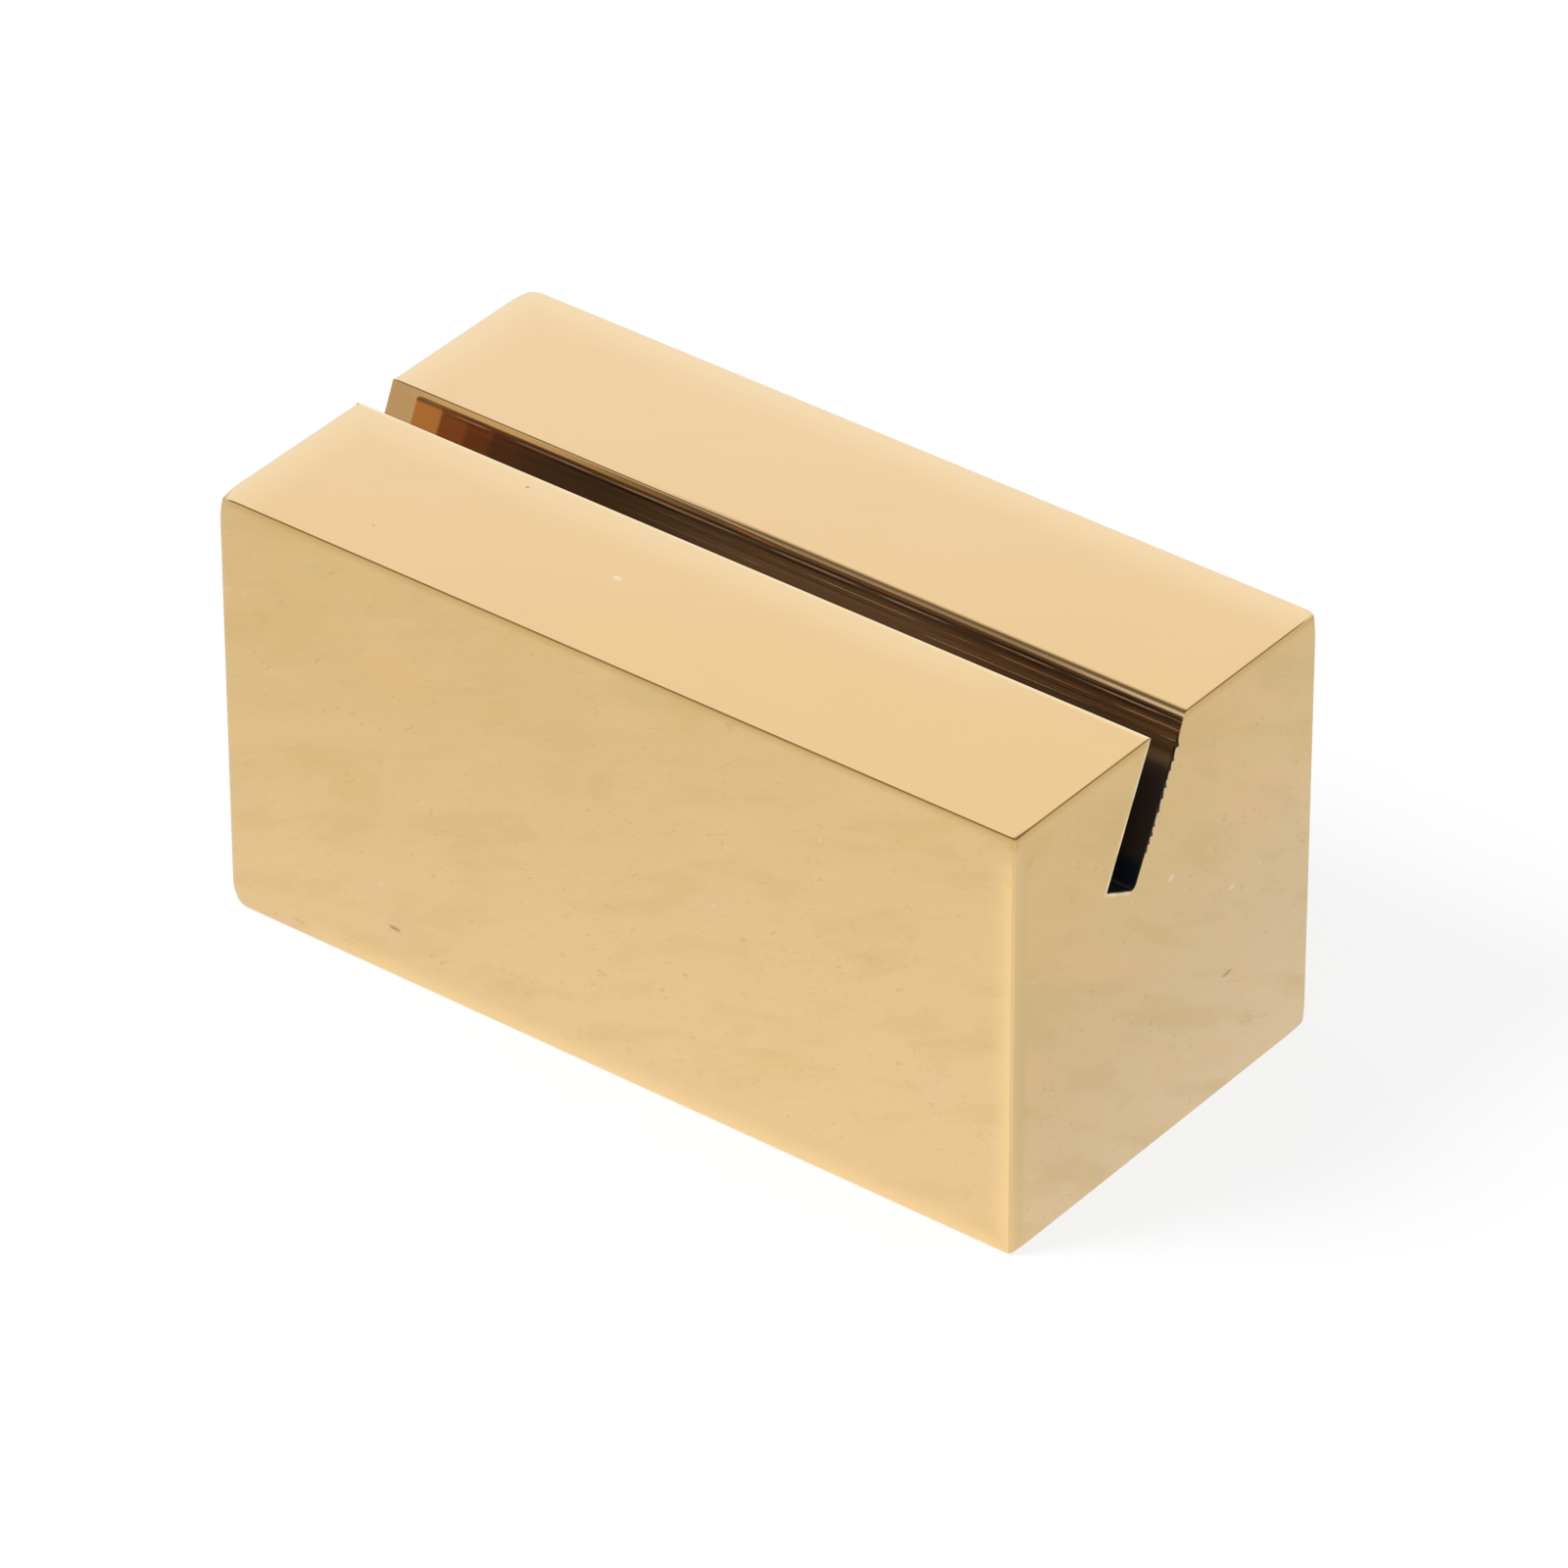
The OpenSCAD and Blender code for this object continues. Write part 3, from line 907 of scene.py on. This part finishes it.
def paleFloor(values):
    # White for the camera. The metal sees a white that is a little brighter in front of the block and
    # near it, and both see the shadow that the lamp casts on the rest.
    material, kit, shader, place = newMaterial("paleFloor")
    kit.tree.nodes.remove(shader)
    path = kit.add("ShaderNodeLightPath").outputs
    x, y, z = kit.parts(place)
    glow = kit.scaled(kit.span(y, values["frontSpan"]), values["frontGlow"], values["farGlow"])
    glow = kit.scaled(kit.span(x, values["rightSpan"]), values["rightGlow"], glow)
    outside = kit.vector("SUBTRACT", kit.vector("ABSOLUTE", place), (*(blockSize[:2] / 2 * mm), 0.0))
    away = kit.vector("LENGTH", kit.vector("MAXIMUM", outside, (0.0, 0.0, 0.0)))
    near = kit.maths("EXPONENT", kit.times(away, -1 / (values["nearReach"] * mm)))
    glow = kit.scaled(near, values["nearGlow"], glow)
    corner = kit.vector("DISTANCE", place, tuple(np.array(values["cornerPlace"]) * mm))
    near = kit.ranged(corner, values["cornerReach"] * mm, 0.0)
    glow = kit.scaled(near, values["cornerGlow"], glow)
    strength = kit.mixed(path["Is Glossy Ray"], 1.0, glow)
    share = kit.maths("MAXIMUM", path["Is Camera Ray"], path["Is Transmission Ray"])
    share = kit.times(share, values["whiteShare"])
    share = kit.scaled(path["Is Glossy Ray"], values["metalWhiteShare"], share)
    lit = kit.add("ShaderNodeBsdfDiffuse", Color=(0.94, 0.94, 0.94, 1.0))
    white = kit.add("ShaderNodeEmission", Strength=strength)
    mix = kit.add("ShaderNodeMixShader", Fac=share)
    kit.put(mix.inputs[1], lit.outputs[0])
    kit.put(mix.inputs[2], white.outputs[0])
    kit.fill(kit.tree.nodes["Material Output"], Surface=mix.outputs[0])
    return material


def makeFloor(values):
    half, z = values["side"] / 2 * mm, -values["sink"] * mm
    mesh = bpy.data.meshes.new("studioFloor")
    corners = [(-half, -half, z), (half, -half, z), (half, half, z), (-half, half, z)]
    mesh.from_pydata(corners, [], [(0, 1, 2, 3)])
    mesh.materials.append(paleFloor(values))
    floor = placed("studioFloor", mesh)


lightValues = {
    "softLight": 0.496,
    "lampPower": 4.2,  # watts
    "lampSize": 260.0,  # mm
    "lampPlace": (-260.0, -330.0, 560.0),  # mm
    "rearWall": 1.0,  # what the metal sees low behind the block, seen from the camera
    "frontWall": 0.68,  # and low in front of it
    "ceiling": 0.224,
    # where round the block these change, by rearward as makeWorld explains it, and heights as sines
    "wallTurn": (-0.4, 0.8),  # from the front wall to the rear one
    "rearTurn": (0.1, 0.9),  # from the wall's height at the sides to its height behind
    "wallTops": (0.22, 0.66),
    "frontTurn": (0.0, -0.3),  # where the front's extra height comes in
    "frontRise": 0.35,
    "wallFade": 0.25,  # how far above its top the wall fades into the ceiling
    "flagEdges": ((0.345, 0.350), (0.40, 0.375)),  # a low dark flag at the front left, edge by edge
    "flagTop": (0.26, 0.22),  # how high it reaches, as a sine
    "flagShade": 0.86,
}


def makeWorld(values):
    # Even light for the floor, and for the metal a bright wall that fades into a darker ceiling. The wall is
    # brightest and tallest behind the block. Rearward is 1 straight behind it and -1 straight in front.
    world = bpy.data.worlds.new("softStudio")
    bpy.context.scene.world = world
    world.use_nodes = True
    kit = nodeKit(world.node_tree)
    world.node_tree.nodes.clear()
    path = kit.add("ShaderNodeLightPath").outputs
    place = kit.add("ShaderNodeTexCoord").outputs["Generated"]
    x, y, z = kit.parts(place)
    azimuth = math.radians(cameraValues["azimuth"])
    level = kit.vector("NORMALIZE", kit.vector("MULTIPLY", place, (1.0, 1.0, 0.0)))
    rearward = kit.vector("DOT_PRODUCT", level, (-math.sin(azimuth), math.cos(azimuth), 0.0))
    wall = kit.ranged(rearward, *values["wallTurn"], values["frontWall"], values["rearWall"])
    behind = kit.ranged(rearward, *values["rearTurn"], *values["wallTops"])
    fadeStart = kit.maths("ADD", behind, kit.ranged(rearward, *values["frontTurn"], 0.0, values["frontRise"]))
    fade = kit.ranged(z, fadeStart, kit.maths("ADD", fadeStart, values["wallFade"]))
    seen = kit.mixed(fade, wall, values["ceiling"])
    forward = kit.times(rearward, -1.0)
    leftSide = kit.maths("LESS_THAN", x, 0.0)
    flag = kit.times(*(kit.ranged(forward, *edge) for edge in values["flagEdges"]), leftSide,
                     kit.ranged(z, *values["flagTop"]))
    seen = kit.times(seen, kit.scaled(flag, -values["flagShade"], 1.0))
    light = kit.mixed(path["Is Glossy Ray"], values["softLight"], seen)
    light = kit.mixed(path["Is Camera Ray"], light, 1.0)
    background = kit.add("ShaderNodeBackground", Color=(1.0, 1.0, 1.0, 1.0), Strength=light)
    kit.add("ShaderNodeOutputWorld", Surface=background.outputs[0])


def makeLamp(values):
    light = bpy.data.lights.new("keyLamp", "AREA")
    light.energy = values["lampPower"]
    light.shape = "DISK"
    light.size = values["lampSize"] * mm
    lamp = placed("keyLamp", light)
    lamp.location = Vector(values["lampPlace"]) * mm
    lamp.rotation_euler = (-lamp.location).to_track_quat("-Z", "Y").to_euler()
    lamp.visible_glossy = False


def makeCamera(values):
    azimuth, elevation = math.radians(values["azimuth"]), math.radians(values["elevation"])
    back = Vector((math.sin(azimuth) * math.cos(elevation), -math.cos(azimuth) * math.cos(elevation),
                   math.sin(elevation)))
    data = bpy.data.cameras.new("camera")
    data.lens = values["lensLength"]
    data.sensor_width = values["sensorWidth"]
    data.clip_start, data.clip_end = 10 * mm, 5000 * mm
    camera = placed("camera", data)
    roll = Matrix.Rotation(math.radians(values["roll"]), 3, "Z").to_quaternion()
    turn = (-back).to_track_quat("-Z", "Y") @ roll
    camera.rotation_mode = "QUATERNION"
    camera.rotation_quaternion = turn
    camera.location = (Vector(values["aim"]) + back * values["distance"]) * mm
    bpy.context.scene.camera = camera


makeFloor(floorValues)
makeWorld(lightValues)
makeLamp(lightValues)
makeCamera(cameraValues)
scene = bpy.context.scene
scene.view_settings.view_transform = "Standard"
scene.cycles.max_bounces = 20
scene.cycles.glossy_bounces = 16
print("stage 3: floor, light and camera made")
